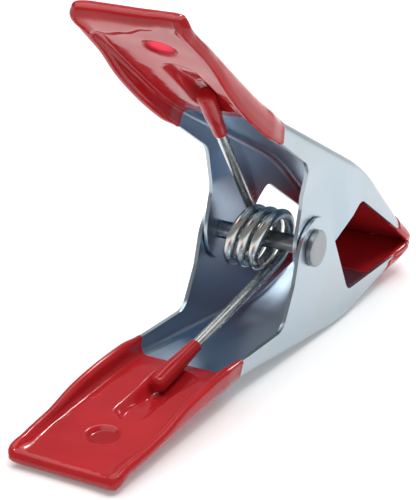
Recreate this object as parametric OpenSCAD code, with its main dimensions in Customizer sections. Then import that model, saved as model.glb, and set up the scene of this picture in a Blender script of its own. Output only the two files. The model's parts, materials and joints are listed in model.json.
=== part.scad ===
// Spring clamp: two stamped channel jaws on a rivet, torsion spring, dipped grips and tips.
// Millimetres. It rests on its lower handle lip and lower jaw; X runs toward the tips, Z is up.

/* [Sheet and dip] */

// Thickness of the steel sheet
sheet = 1.1; // [0.9:0.05:1.3]
// Thickness of the dipped coat on every face
coat = 0.9; // [0.6:0.05:1.1]
// Width of a jaw over its outer faces
width = 31.3; // [29:0.1:36]
// Outer corner radius between web and flange
corner_r = 3.6; // [3.2:0.1:4]

/* [Jaw profile] */

// Pivot to the end of the steel tip
tip_reach = 74.5; // [70:0.5:80]
// Slope of the jaw web, degrees
jaw_slope = 25.3; // [24:0.1:26]
// Where the web bends into the jaw, along the clamp
bend_x = 29; // [27:0.5:30]
// Height of the web's outer face at that bend
bend_z = 22.7; // [22.2:0.1:23.4]
// Radius of the jaw bend
bend_r = 80; // [60:1:100]
// Slope of the straight part over the spring, degrees
belly_slope = 10.6; // [10:0.1:11.4]
// Where the web bends out into the handle
flare_x = -44; // [-46:0.5:-42]
// Slope of the handle, degrees
handle_slope = 21.7; // [21:0.1:22.4]
// Radius of the handle bend
flare_r = 80; // [60:1:90]
// Height of the throat's back corner
throat_z = 13.2; // [12.8:0.1:13.6]
// Distance of the throat's back corner from the pivot
throat_x = 28.3; // [27.6:0.1:29]

/* [Ears and rivet] */

// Radius of the ear's rounded end
ear_r = 10.8; // [10.6:0.1:11.2]
// Rivet shank diameter
pin_d = 5; // [4.5:0.1:5.4]
// Rivet head diameter
head_d = 10.2; // [9.6:0.1:11]
// Rivet head thickness
head_t = 1.8; // [1.4:0.05:2]
// Gap between the two jaws' ears
ear_gap = 0.3; // [0.25:0.01:0.35]
// Radial play of the upper ears on the rivet
pin_play = 0.06; // [0.04:0.01:0.08]

/* [Handle end] */

// Where the handle ends and the lip starts to curl
lip_x = -85.1; // [-88:0.1:-82]
// Inside radius of the lip's curl, steel
lip_r = 3; // [2.8:0.1:4]
// Angle of the lip's curl, degrees
lip_turn = 52; // [48:1:60]
// Corner radius of the lip seen from its end
lip_corner = 4; // [3:0.1:5]
// Diameter of the hang hole through the coat
hole_d = 8.3; // [7.5:0.1:9]
// Distance of the hang hole from the pivot
hole_x = -71.3; // [-73:0.1:-70]
// Thickness of the coat's film across the hang hole
film = 0.5; // [0.4:0.05:0.8]
// Width of the groove that takes the spring leg
groove_w = 9.4; // [8.6:0.1:10]
// Where the groove starts
groove_x0 = -40; // [-42:0.5:-38]
// Where the groove ends
groove_x1 = -64; // [-65:0.5:-62]
// Where the handle's dip ends
dip_x = -32; // [-34:0.5:-30]
// Where the tip's dip ends
tip_dip_x = 54; // [50:0.5:58]

/* [Spring] */

// Wire diameter
wire_d = 2.9; // [2.6:0.05:2.95]
// Mean radius of the coil
coil_r = 7.7; // [7.2:0.05:8]
// Advance of the coil for each turn
coil_pitch = 3.75; // [3.4:0.05:4]
// Lean of the coil, degrees
coil_lean = 12; // [0:0.5:13]
// Offset of the coil from the pivot, along the clamp
coil_x = -1.5; // [-2:0.1:0]
// Offset of the coil from the middle, across the clamp
coil_y = 0.9; // [0:0.1:1.5]
// Slope of the spring legs, degrees
leg_slope = 30.9; // [30.4:0.1:31.2]
// Length of a spring leg
leg_len = 59.2; // [57:0.1:59.4]
// Outside diameter of a leg's sleeve
sleeve_d = 4.85; // [4.6:0.05:5]
// Length of a leg's sleeve
sleeve_len = 19; // [16:0.5:22]

/* [Hidden] */

$fn = 96;
half_w = width / 2;
fat = sheet + 2 * coat;
tip_gap = 0.15;
// the web's outer face is three planes, and each bend between them is one narrow plane more
flare_z = bend_z + (bend_x - flare_x) * tan(belly_slope);
bend_turn = jaw_slope - belly_slope;
flare_turn = handle_slope - belly_slope;
bend_mid = (jaw_slope + belly_slope) / 2;
flare_mid = (handle_slope + belly_slope) / 2;
bend_p = [bend_x, bend_z];
flare_p = [flare_x, flare_z];
bend_cut = bend_p - bend_r * (1 / cos(bend_turn / 2) - 1) * [sin(bend_mid), cos(bend_mid)];
flare_cut = flare_p + flare_r * (1 / cos(flare_turn / 2) - 1) * [sin(flare_mid), cos(flare_mid)];
lip_z = flare_z + (flare_x - lip_x) * tan(handle_slope);
lip_c = [lip_x + lip_r * sin(handle_slope), lip_z + lip_r * cos(handle_slope)];
lip_a = 270 - handle_slope;
lip_n = [sin(handle_slope), cos(handle_slope)];
lip_end = lip_c + (lip_r + sheet / 2) * [cos(lip_a - lip_turn), sin(lip_a - lip_turn)];
lip_half = half_w - 0.7;
// resting attitude: one line touches the lip's rounded edge and the belly's front corner
foot = bend_p - bend_r * (tan(bend_turn / 2) - tan(bend_turn / 4)) * [cos(belly_slope), -sin(belly_slope)];
to_foot = [foot[0] - lip_end[0], lip_end[1] - foot[1]];
pitch = atan2(to_foot[1], to_foot[0]) + asin(fat / 2 / norm(to_foot));
lift = lip_end[0] * sin(pitch) + lip_end[1] * cos(pitch) + fat / 2;
x_low = lip_end[0] * cos(pitch) - lip_end[1] * sin(pitch) - fat / 2;
x_high = (tip_reach + coat) * cos(pitch) + (tip_gap + 0.9) * sin(pitch);
shift = -(x_low + x_high) / 2;
// the ear: a round end, a straight front edge that touches it, and a filleted notch behind
ear_c = [ear_r - 8.5, ear_r - 8.4];
throat_c = [throat_x, throat_z];
ear_far = norm(throat_c - ear_c);
front_a = atan2(ear_c[1] - throat_z, ear_c[0] - throat_x) + asin(ear_r / ear_far);
front_p = throat_c + sqrt(ear_far * ear_far - ear_r * ear_r) * [cos(front_a), sin(front_a)];
throat_end = [tip_reach - 4, tip_gap + coat];
notch = [-11.4, 22.4];
notch_low = [-8.5, 10.5];
dish_r = 16;
ramp_r = 18.2;
// the tip's dip line: how far back and high it starts, and how far ahead and low it ends
dip_back = [-22, 30];
dip_front = [12, -4];
dip_reach = 100;
// the flange's free edge on the handle is one smooth curve that ends at the lip
edge = [[-29, 27.4], [-76, 39.4], [-56, 41.4], [lip_x, lip_z] - (sheet + 0.3) * lip_n];
edge_n = 16;
// coil and legs
wire_r = wire_d / 2;
start_a = leg_slope - 90;
sweep_a = 1080 - 2 * start_a;
leg_y = coil_pitch * sweep_a / 720 - coil_r * cos(leg_slope) * tan(coil_lean);
tip_x = coil_x + coil_r * sin(leg_slope) - leg_len * cos(leg_slope);
tip_z = coil_r * cos(leg_slope) + leg_len * sin(leg_slope);
function leg_top(s) = [coil_x + coil_r * sin(leg_slope), coil_y + s * leg_y, s * coil_r * cos(leg_slope)];
function leg_tip(s) = [tip_x, 0, s * tip_z];
function leg_dir(s) = (leg_tip(s) - leg_top(s)) / norm(leg_tip(s) - leg_top(s));
function leg_out(s) = [sin(leg_slope), 0, s * cos(leg_slope)];
// the handle's groove is as deep as the sleeve's end needs, with a hair's gap
sleeve_over = 0.6;
seat_x = tip_x - sleeve_over * cos(leg_slope) + sleeve_d / 2 * sin(leg_slope);
seat_z = tip_z + sleeve_over * sin(leg_slope) + sleeve_d / 2 * cos(leg_slope);
seat_gap = 0.08;
seat_line = flare_z + (flare_x - seat_x) * tan(handle_slope);
groove_d = sheet + coat + (seat_z + seat_gap - seat_line) * cos(handle_slope);
sides = 12;
steps = 80;

function bez(t) = pow(1 - t, 3) * edge[0] + 3 * t * pow(1 - t, 2) * edge[1]
    + 3 * t * t * (1 - t) * edge[2] + pow(t, 3) * edge[3];

// everything is drawn with the pivot at the origin, then set down at rest
module rest() translate([shift, 0, lift]) rotate([0, pitch, 0]) children();
module turned() rotate([180, 0, 0]) children();

// section with rounded corners, its top at 0
module section(w, r, deep) polygon(concat([[-w / 2, -deep]], arc([r - w / 2, -r], r, 180, 90, r > 2 ? 6 : 3),
    arc([w / 2 - r, -r], r, 90, 0, r > 2 ? 6 : 3), [[w / 2, -deep]]));

// a straight bar of that section under the plane through p, heading down toward the tip
module bar(p, slope, back, ahead, off, w, r, deep)
    multmatrix([[0, sin(slope), cos(slope), p[0]], [1, 0, 0, 0],
        [0, cos(slope), -sin(slope), p[1]], [0, 0, 0, 1]])
        translate([0, off, -back]) linear_extrude(back + ahead) section(w, r, deep);

// all that lies under the web's planes moved out by off
module under(off, w, r, deep) {
    intersection() {
        bar(bend_p, jaw_slope, 160, 80, off, w, r, deep);
        bar(bend_cut, bend_mid, 160, 80, off, w, r, deep);
        bar(bend_p, belly_slope, 160, 80, off, w, r, deep);
    }
    bar(flare_cut, flare_mid, 90, 150, off, w, r, deep);
    bar(flare_p, handle_slope, 90, 150, off, w, r, deep);
}

// the channel: outer form less inner form; set_in draws the ears inward round the pivot
module channel(grow, set_in) {
    hi = half_w + grow;
    lo = half_w - sheet - grow;
    difference() {
        difference() {
            under(grow, 2 * hi, corner_r + grow, 140);
            if (set_in > 0) for (s = [-1, 1]) rotate([s * 90, 0, 0]) rotate_extrude()
                polygon([[0, hi - set_in], [dish_r - 0.5, hi - set_in],
                    [ramp_r - 0.5 + (ramp_r - dish_r) / set_in, hi + 1], [0, hi + 1]]);
        }
        difference() {
            under(-sheet - grow, 2 * lo, corner_r - sheet - grow, 150);
            if (set_in > 0) for (s = [-1, 1]) rotate([s * 90, 0, 0]) rotate_extrude()
                polygon([[0, lo - set_in], [dish_r, lo - set_in],
                    [ramp_r + (ramp_r - dish_r) / set_in, lo + 1], [0, lo + 1]]);
        }
    }
}

// points of an arc about c, and of a fillet at corner b between directions d1 and d2
function arc(c, r, a0, a1, n) = [for (i = [0 : n]) let(a = a0 + (a1 - a0) * i / n) c + r * [cos(a), sin(a)]];
function fillet(b, d1, d2, r, n) = let(u1 = d1 / norm(d1), u2 = d2 / norm(d2), half = acos(u1 * u2) / 2,
    c = b + r / sin(half) * (u1 + u2) / norm(u1 + u2), v1 = b + r / tan(half) * u1 - c,
    v2 = b + r / tan(half) * u2 - c, w = 180 - 2 * half)
    [for (i = [0 : n]) c + (sin(w * (1 - i / n)) * v1 + sin(w * i / n) * v2) / sin(w)];

// side outline of a jaw, beyond the web on its side; grow moves the free edges out
module outline(grow) {
    g = grow * 1.04;
    throat_g = throat_c - [0, g];
    notch_g = notch - [0, g];
    polygon(concat([[tip_reach + grow - 1.6, 60], [tip_reach + grow - 1.6, throat_end[1] - grow + 2.6],
        [tip_reach + grow, throat_end[1] - grow + 0.9], [tip_reach + grow, throat_end[1] - grow],
        throat_end - [0, grow]], fillet(throat_g, throat_end - throat_c, front_p - throat_c, 1.8, 6),
        arc(ear_c, ear_r, front_a + 90, -180, 26), [notch_low], fillet(notch_g, notch_low - notch,
        edge[0] - notch, 5, 6), [for (i = [0 : edge_n - 1]) bez(i / edge_n) - [0, grow * 0.6]],
        [[lip_x, lip_z] - (sheet + 0.3 + grow) * lip_n, [lip_x, lip_z] + 12 * lip_n]));
}

module side(grow) rotate([90, 0, 0]) linear_extrude(width + 4, center = true) outline(grow);

// a prism along the handle's normal, x measured along the handle from the flare
module on_handle(low, high)
    multmatrix([[-cos(handle_slope), 0, sin(handle_slope), flare_x], [0, -1, 0, 0],
        [sin(handle_slope), 0, cos(handle_slope), flare_z], [0, 0, 0, 1]])
        translate([0, 0, low]) linear_extrude(high - low) children();

module stadium(half) {
    a = (flare_x - groove_x0) / cos(handle_slope);
    b = (flare_x - groove_x1) / cos(handle_slope) - groove_w / 2;
    translate([a, -half]) square([b - a, 2 * half]);
    translate([a, 0]) circle(half);
    translate([b, 0]) circle(half);
}

module hole(d) translate([(flare_x - hole_x) / cos(handle_slope), 0]) circle(d / 2);

// the lip starts inside the handle's sheet, so that the two join as one piece
lip_lap = 20;
lip_sink = 0.214;
module lip(grow) intersection() {
    union() {
        translate([lip_c[0] - lip_sink * lip_n[0], 0, lip_c[1] - lip_sink * lip_n[1]])
            rotate([90, 0, 0]) rotate([0, 0, lip_a - lip_turn]) rotate_extrude(angle = lip_turn + lip_lap)
                translate([lip_r - grow, -half_w - grow])
                    square([sheet + 2 * grow, width + 2 * grow]);
        if (grow > 0) translate([lip_end[0], 0, lip_end[1]]) rotate([90, 0, 0])
            cylinder(h = width + 2 * grow, r = fat / 2, center = true);
    }
    lip_plan(lip_half + grow, lip_corner + grow, lip_end[1] + sheet / 2 + grow);
}

// seen from the end, the lip has rounded corners
module lip_plan(w, r, top) translate([lip_c[0] - 12, 0, 0]) rotate([90, 0, 90]) linear_extrude(24) {
    translate([-w, 0]) square([2 * w, top - r]);
    translate([r - w, 0]) square([2 * w - 2 * r, top]);
    for (s = [-1, 1]) translate([s * (w - r), top - r]) circle(r);
}

// a jaw's sheet without its bore; grow 0 is the steel, grow coat is the steel with its coat
module sheet_form(grow, set_in) difference() {
    union() {
        intersection() {
            channel(grow, set_in);
            side(grow);
        }
        lip(grow);
        on_handle(-sheet / 2, groove_d + grow) stadium(groove_w / 2 + coat + sheet + grow);
    }
    on_handle(-sheet - coat - 3, groove_d - sheet - grow) stadium(groove_w / 2 + coat - grow);
    on_handle(-4, 5) hole(hole_d + 2 * coat - 2 * grow);
}

module jaw(set_in, bore) difference() {
    sheet_form(0, set_in);
    rotate([90, 0, 0]) cylinder(h = width + 4, d = bore, center = true);
}

module behind() translate([dip_x - 80, -40, 0]) cube([80, 80, 90]);

module grip() {
    difference() {
        intersection() {
            sheet_form(coat, 0);
            behind();
        }
        sheet_form(0, 0);
    }
    on_handle(-sheet / 2 - film / 2, film / 2 - sheet / 2) hole(hole_d + 2 * coat);
}

// the tip's dip ends on a plane that leans with the drained edge
module ahead() rotate([90, 0, 0]) linear_extrude(60, center = true)
    polygon([[tip_dip_x, 0] + dip_back, [tip_dip_x, 0] + dip_front, [dip_reach, dip_front[1]],
        [dip_reach, dip_back[1]]]);

module tip() difference() {
    intersection() {
        channel(coat, 0);
        side(coat);
        ahead();
    }
    intersection() {
        channel(0, 0);
        side(0);
    }
}

// s is 1 for the upper leg, -1 for the lower
module sleeve(s) {
    d = leg_dir(s);
    n = leg_out(s);
    b = cross(d, n);
    o = leg_tip(s) + d * (sleeve_over - sleeve_len);
    multmatrix([[n[0], b[0], d[0], o[0]], [n[1], b[1], d[1], o[1]], [n[2], b[2], d[2], o[2]], [0, 0, 0, 1]])
        difference() {
            cylinder(h = sleeve_len, d = sleeve_d);
            translate([0, 0, -1]) cylinder(h = sleeve_len + 2, d = wire_d + 0.02);
        }
}

// spring centre line by angle
function coil_p(a) = [coil_x + coil_r * cos(a),
    coil_y + coil_pitch * (a - 540) / 360 - tan(coil_lean) * coil_r * sin(a), coil_r * sin(a)];
function coil_t(a) = [-coil_r * sin(a), coil_pitch / 2 / PI - tan(coil_lean) * coil_r * cos(a),
    coil_r * cos(a)];
function angle_at(i) = start_a + sweep_a * i / steps;
// each ring: centre, outward direction, tangent
rings = concat([[leg_tip(-1), leg_out(-1), -leg_dir(-1)],
    [leg_top(-1) + leg_dir(-1) * 2, leg_out(-1), -leg_dir(-1)]],
    [for (i = [0 : steps]) let(a = angle_at(i)) [coil_p(a), [cos(a), 0, sin(a)], coil_t(a)]],
    [[leg_top(1) + leg_dir(1) * 2, leg_out(1), leg_dir(1)], [leg_tip(1), leg_out(1), leg_dir(1)]]);
count = len(rings);
function ring_point(q, k) = let(t = q[2] / norm(q[2]), n0 = q[1] - (q[1] * t) * t, n = n0 / norm(n0),
    b = cross(t, n)) q[0] + wire_r * (cos(360 * k / sides) * n + sin(360 * k / sides) * b);
wire_points = [for (q = rings) for (k = [0 : sides - 1]) ring_point(q, k)];
wire_faces = concat(
    [for (i = [0 : count - 2]) for (k = [0 : sides - 1]) [i * sides + k, i * sides + (k + 1) % sides,
        (i + 1) * sides + k]],
    [for (i = [0 : count - 2]) for (k = [0 : sides - 1]) [i * sides + (k + 1) % sides,
        (i + 1) * sides + (k + 1) % sides, (i + 1) * sides + k]],
    [for (k = [1 : sides - 2]) [0, k + 1, k]],
    [for (k = [1 : sides - 2]) [(count - 1) * sides, (count - 1) * sides + k, (count - 1) * sides + k + 1]]);
// least gap between neighbouring turns
turn_gap = min([for (i = [0 : 4 : steps]) for (j = [i + 12 : steps])
    norm(coil_p(angle_at(i)) - coil_p(angle_at(j)))]) - wire_d;
echo(turn_gap = turn_gap, groove_d = groove_d, pitch = pitch, lift = lift, shift = shift,
    leg_tip = leg_tip(1), leg_y = leg_y,
    lip_end = lip_end, lip_c = lip_c, lip_z = lip_z, flare_z = flare_z, front_p = front_p,
    foot = foot, x_low = x_low, x_high = x_high);

module lower_jaw() color([0.74, 0.76, 0.79]) rest() turned() jaw(0, pin_d);
module upper_jaw() color([0.74, 0.76, 0.79]) rest() jaw(sheet + ear_gap, pin_d + 2 * pin_play);

module pivot_rivet() color([0.80, 0.81, 0.83]) rest() for (s = [-1, 1]) rotate([s * 90, 0, 0])
    rotate_extrude() polygon([[0, 0], [pin_d / 2, 0], [pin_d / 2, half_w], [head_d / 2, half_w],
        [head_d / 2, half_w + head_t * 0.72], [head_d / 2 - 0.5, half_w + head_t], [0, half_w + head_t]]);

module torsion_spring() color([0.82, 0.82, 0.80]) rest()
    polyhedron(points = wire_points, faces = wire_faces, convexity = 8);

module lower_handle_grip() color([0.70, 0.10, 0.12]) rest() turned() grip();
module upper_handle_grip() color([0.70, 0.10, 0.12]) rest() grip();
module lower_jaw_tip() color([0.70, 0.10, 0.12]) rest() turned() tip();
module upper_jaw_tip() color([0.70, 0.10, 0.12]) rest() tip();
module lower_leg_sleeve() color([0.72, 0.11, 0.13]) rest() sleeve(-1);
module upper_leg_sleeve() color([0.72, 0.11, 0.13]) rest() sleeve(1);

lower_jaw();
upper_jaw();
pivot_rivet();
torsion_spring();
lower_handle_grip();
upper_handle_grip();
lower_jaw_tip();
upper_jaw_tip();
lower_leg_sleeve();
upper_leg_sleeve();
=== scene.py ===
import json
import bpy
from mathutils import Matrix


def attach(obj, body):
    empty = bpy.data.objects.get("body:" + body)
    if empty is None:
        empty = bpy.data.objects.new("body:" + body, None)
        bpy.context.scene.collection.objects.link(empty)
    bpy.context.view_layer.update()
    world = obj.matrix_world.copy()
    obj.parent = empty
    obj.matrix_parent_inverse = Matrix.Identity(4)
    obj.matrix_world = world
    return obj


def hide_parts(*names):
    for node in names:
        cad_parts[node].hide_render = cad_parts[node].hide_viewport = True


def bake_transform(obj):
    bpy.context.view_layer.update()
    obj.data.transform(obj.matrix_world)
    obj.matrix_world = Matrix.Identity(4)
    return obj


bl_info = {
    "name": "Spring Clamp",
    "version": (1, 0, 0),
    "blender": (4, 5, 0),
    "location": "3D View > Sidebar > Spring Clamp",
    "description": "Pressed steel jaws, rivet, torsion spring and dipped vinyl of a hand spring clamp",
    "category": "Object",
}

import bmesh
import bpy
import numpy as np
from mathutils import Matrix, Vector
from mathutils.geometry import delaunay_2d_cdt

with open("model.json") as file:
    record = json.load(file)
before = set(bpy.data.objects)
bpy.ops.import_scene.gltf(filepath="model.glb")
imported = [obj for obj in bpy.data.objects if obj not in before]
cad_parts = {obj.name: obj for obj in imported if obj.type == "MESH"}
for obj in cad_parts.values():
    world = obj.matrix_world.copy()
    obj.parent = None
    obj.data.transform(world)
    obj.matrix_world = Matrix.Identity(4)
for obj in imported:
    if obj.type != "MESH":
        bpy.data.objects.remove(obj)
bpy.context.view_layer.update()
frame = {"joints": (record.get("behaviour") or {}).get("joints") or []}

MM = 0.001
HINGE = next(j for j in frame["joints"] if j["name"] == "jaw_pivot")
PIVOT = np.array(HINGE["pos_m"]) / MM
REST_PITCH = np.radians(16.2133)
SHEET = 1.1
HALF_SHEET = SHEET / 2
COAT = 0.9
SKIN = HALF_SHEET + COAT
HALF_WIDTH = 15.65
FLANGE_Y = HALF_WIDTH - HALF_SHEET


# ---------------------------------------------------------------- small helpers


def direction(degrees):
    """Unit vector of the side view at an angle from the clamp's length."""
    a = np.radians(degrees)
    return np.array([np.cos(a), np.sin(a)])


def grade(degrees):
    """Rise over run of a slope."""
    return np.tan(np.radians(degrees))


def soft_least(a, b):
    """The lesser of two lengths, with a soft change from one to the other."""
    return (a**-40 + b**-40) ** (-1 / 40)


def ease(x, low, high):
    """Smooth step from 0 at low to 1 at high."""
    t = np.clip((x - low) / (high - low), 0, 1)
    return t * t * (3 - 2 * t)


def set_down(points, lower):
    """Points about the pivot, in millimetres, to their place at rest, in metres."""
    p = np.asarray(points, float)
    turn = -1 if lower else 1
    x, y, z = p[:, 0], p[:, 1] * turn, p[:, 2] * turn
    c, s = np.cos(REST_PITCH), np.sin(REST_PITCH)
    return np.column_stack([x * c + z * s, y, z * c - x * s]) * MM + PIVOT * MM


def ripple(p, scale, seed):
    """A slow wave over points in millimetres, between about -1 and 1."""
    rng = np.random.default_rng(seed)
    total = np.zeros(len(p))
    for _ in range(7):
        way = rng.normal(size=3)
        way /= np.linalg.norm(way)
        total += np.sin(p @ way * 2 * np.pi / (scale * rng.uniform(0.7, 1.6)) + rng.uniform(0, 6.283))
    return total / 4


def new_piece(name, points, faces, material, body, node, smooth_angle):
    """A mesh object made of points in metres, riding on a body and standing for a node."""
    mesh = bpy.data.meshes.new(name)
    mesh.from_pydata([tuple(p) for p in points], [], [tuple(int(i) for i in f) for f in faces])
    bm = bmesh.new()
    bm.from_mesh(mesh)
    bmesh.ops.remove_doubles(bm, verts=bm.verts, dist=0.002 * MM)
    bmesh.ops.dissolve_degenerate(bm, edges=bm.edges, dist=0.001 * MM)
    bmesh.ops.recalc_face_normals(bm, faces=bm.faces)
    limit = np.radians(smooth_angle)
    for f in bm.faces:
        f.smooth = True
    for e in bm.edges:
        if len(e.link_faces) == 2 and e.calc_face_angle(0.0) > limit:
            e.smooth = False
    bm.to_mesh(mesh)
    bm.free()
    mesh.materials.append(material)
    piece = bpy.data.objects.new(name, mesh)
    bpy.context.scene.collection.objects.link(piece)
    if body:
        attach(piece, body)
    if node:
        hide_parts(node)
    return piece


def grid_faces(rows, columns, closed=False, start=0):
    """Quads of a grid of points laid out row by row."""
    wrap = columns if closed else columns - 1
    return [
        (
            start + r * columns + c,
            start + r * columns + (c + 1) % columns,
            start + (r + 1) * columns + (c + 1) % columns,
            start + (r + 1) * columns + c,
        )
        for r in range(rows - 1)
        for c in range(wrap)
    ]


# ---------------------------------------------------------------- the jaw's form


class JawForm:
    """The pressed channel about the pivot: its side line, its section and its free edges."""

    tip_u = 74.5
    jaw_slope, belly_slope, handle_slope = 25.3, 10.6, 20.36
    bend = np.array([29.0, 22.7])
    bend_radius, flare_radius = 80.0, 160.0
    flare_u = -38.0
    lip_u, lip_radius, lip_turn = -85.1, 3.0, 52.0
    ear_radius = 10.8
    ear_centre = np.array([2.3, 2.4])
    throat = np.array([28.3, 13.2])
    throat_radius = 4.0
    bite_u, bite_v = tip_u - 4, 1.05
    notch = np.array([-11.4, 22.4])
    notch_low = np.array([-8.5, 10.5])
    notch_radius = 5
    handle_edge_through = np.array([
        [-18, 24.3], [-29, 27.4], [-40, 30.4], [-51, 34.2], [-62, 39.0],
        [-71, 44.1], [-79, 47.7], [-87, 50.9], [-95, 54],
    ])
    line_step = 0.1
    past_tip = 6

    def __init__(self):
        flare_v = self.bend[1] + (self.bend[0] - self.flare_u) * grade(self.belly_slope)
        flare = np.array([self.flare_u, flare_v])
        lip = np.array([self.lip_u, flare[1] + (self.flare_u - self.lip_u) * grade(self.handle_slope)])
        up = direction(90 - self.handle_slope)
        centre = lip + self.lip_radius * up
        lip_angle = 270 - self.handle_slope
        start = centre + self.lip_radius * direction(lip_angle - self.lip_turn)
        heading = lip_angle - self.lip_turn + 90 - 360
        flare_turn = self.handle_slope - self.belly_slope
        bend_turn = self.jaw_slope - self.belly_slope
        flare_cut = self.flare_radius * grade(flare_turn / 2)
        bend_cut = self.bend_radius * grade(bend_turn / 2)
        jaw_length = (self.tip_u - self.bend[0]) / np.cos(np.radians(self.jaw_slope))
        runs = [
            (self.lip_radius * np.radians(self.lip_turn), 1 / self.lip_radius),
            (np.linalg.norm(flare - lip) - flare_cut, 0),
            (self.flare_radius * np.radians(flare_turn), 1 / self.flare_radius),
            (np.linalg.norm(self.bend - flare) - flare_cut - bend_cut, 0),
            (self.bend_radius * np.radians(bend_turn), -1 / self.bend_radius),
            (jaw_length - bend_cut + self.past_tip, 0),
        ]
        places, headings, lengths = [start], [np.radians(heading)], [0.0]
        for length, curve in runs:
            n = int(np.ceil(length / self.line_step))
            step = length / n
            for _ in range(n):
                h = headings[-1] + curve * step / 2
                places.append(places[-1] + step * np.array([np.cos(h), np.sin(h)]))
                headings.append(headings[-1] + curve * step)
                lengths.append(lengths[-1] + step)
        self.places = np.array(places)
        self.headings = np.array(headings)
        self.lengths = np.array(lengths)
        self.lip_a = runs[0][0]
        self.flare_a = self.lip_a + np.linalg.norm(flare - lip)
        self.tip_a = self.lengths[-1] - self.past_tip
        self.edge_points = self.handle_edge()
        self.outline = self.ear_outline()

    def handle_edge(self):
        """The flange's free edge on the handle, one smooth curve through a few points."""
        p = self.handle_edge_through
        t = np.linspace(0, 1, 10, endpoint=False)[:, None]
        runs = [
            (2 * b + (c - a) * t + (2 * a - 5 * b + 4 * c - d) * t**2 + (3 * b - a - 3 * c + d) * t**3) / 2
            for a, b, c, d in zip(p, p[1:], p[2:], p[3:])
        ]
        return np.vstack(runs)

    def fillet(self, corner, before, after, radius, n):
        """Points of a rounded corner between two directions that leave it."""
        d1, d2 = before / np.linalg.norm(before), after / np.linalg.norm(after)
        half = np.arccos(d1 @ d2) / 2
        middle = corner + radius / np.sin(half) * (d1 + d2) / np.linalg.norm(d1 + d2)
        a = corner + radius / np.tan(half) * d1 - middle
        b = corner + radius / np.tan(half) * d2 - middle
        w = np.pi - 2 * half
        shares = [i / n for i in range(n + 1)]
        return [middle + (np.sin(w * (1 - t)) * a + np.sin(w * t) * b) / np.sin(w) for t in shares]

    def ear_outline(self):
        """Free edge from the tip's bite, round the throat and the ear, to the handle."""
        far = np.linalg.norm(self.throat - self.ear_centre)
        d = self.ear_centre - self.throat
        angle = np.arctan2(d[1], d[0]) + np.arcsin(self.ear_radius / far)
        touch = np.sqrt(far**2 - self.ear_radius**2)
        front = self.throat + touch * np.array([np.cos(angle), np.sin(angle)])
        bite = np.array([self.bite_u, self.bite_v])
        first = np.degrees(angle) + 90
        turns = [first + (-180 - first) * i / 56 for i in range(57)]
        round_end = [self.ear_centre + self.ear_radius * direction(turn) for turn in turns]
        low = round_end[-1]
        neck = [
            (1 - t) ** 2 * low + 2 * t * (1 - t) * (low + [0, 4.5]) + t * t * self.notch_low
            for t in np.linspace(0.12, 1, 8)
        ]
        inward, onward = self.notch_low - self.notch, self.edge_points[0] - self.notch
        heel = self.fillet(self.notch, inward, onward, self.notch_radius, 12)
        run = [bite + (self.throat - bite) * t for t in np.linspace(0, 0.93, 30)]
        return np.array(
            run
            + self.fillet(self.throat, bite - self.throat, front - self.throat, self.throat_radius, 12)
            + [front + (self.throat - front) * t for t in (0.75, 0.5, 0.25)]
            + round_end
            + neck
            + [self.notch_low + (heel[0] - self.notch_low) * t for t in (0.3, 0.65)]
            + heel
        )

    def line(self, a):
        """Middle of the sheet, and the way outward, at lengths along the side line."""
        a = np.asarray(a, float)
        h = np.interp(a, self.lengths, self.headings)
        along = np.column_stack([np.cos(h), np.sin(h)])
        up = np.column_stack([-np.sin(h), np.cos(h)])
        p = np.column_stack([np.interp(a, self.lengths, self.places[:, i]) for i in (0, 1)])
        p += np.minimum(a, 0)[:, None] * along + np.maximum(a - self.lengths[-1], 0)[:, None] * along
        return p - HALF_SHEET * up, along, up

    def corner(self, a):
        """Radius of the fold at the sheet's middle."""
        u = self.line(a)[0][:, 0]
        at_lip = 5.0 - 2.0 * ease(np.asarray(a, float), self.lip_a - 1, self.lip_a + 14)
        return at_lip - 0.45 * ease(u, -52, -26)

    def edge_v(self, u):
        """Height of the flange's free edge, away from the ear."""
        bent = np.vstack([self.notch, self.edge_points])[::-1]
        back = np.interp(u, bent[:, 0], bent[:, 1])
        rise = (self.throat[1] - self.bite_v) / (self.bite_u - self.throat[0])
        front = np.maximum(self.bite_v, self.bite_v + (self.bite_u - u) * rise)
        return np.where(u < 0, back, front)

    def depth(self, a):
        """How far the flange's free edge lies below the web."""
        p, _, up = self.line(a)
        d = np.full(len(p), 5.0)
        for _ in range(12):
            d = (p[:, 1] - self.edge_v(p[:, 0] - up[:, 0] * d)) / up[:, 1]
        at_lip = 1.5
        grown = ease(np.asarray(a, float), self.lip_a - 2.2, self.lip_a + 7)
        return at_lip + (np.maximum(d, 0.35) - at_lip) * grown

    def flat(self, a):
        """Share of the fold's full turn, which opens out towards the lip."""
        a = np.asarray(a, float)
        return 0.6 + 0.4 * ease(a, self.lip_a - 2.2, self.lip_a + 3)

    def reach(self, a):
        """Length of the section from the middle of the web to the free edge."""
        r, d, g = self.corner(a), self.depth(a), self.flat(a)
        turned = np.arccos(np.clip(1 - np.minimum(d / g, r) / r, -1, 1))
        return FLANGE_Y - r + r * turned + np.maximum(d / g - r, 0)

    def place(self, a, s, off, side, pressed=0.0):
        """Points of the section: s from the web's middle, off outward from the sheet's middle."""
        a, s = np.asarray(a, float), np.asarray(s, float)
        p, along, up = self.line(a)
        r, g = self.corner(a), self.flat(a)
        fold = FLANGE_Y - r
        phi = np.clip((s - fold) / r, 0, np.pi / 2)
        past = np.maximum(s - fold - r * np.pi / 2, 0)
        y = np.minimum(s, fold) + r * np.sin(phi)
        y = y * (1 + 0.065 * (1 - ease(a, self.lip_a - 4, self.lip_a + 16)))
        d = (r * (1 - np.cos(phi)) + past) * g
        tilt = phi * g
        out_y, out_n = np.sin(tilt), np.cos(tilt)
        along_up = -d + off * out_n + pressed
        u = p[:, 0] + up[:, 0] * along_up
        v = p[:, 1] + up[:, 1] * along_up
        return np.column_stack([u, side * (y + off * out_y), v])

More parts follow.
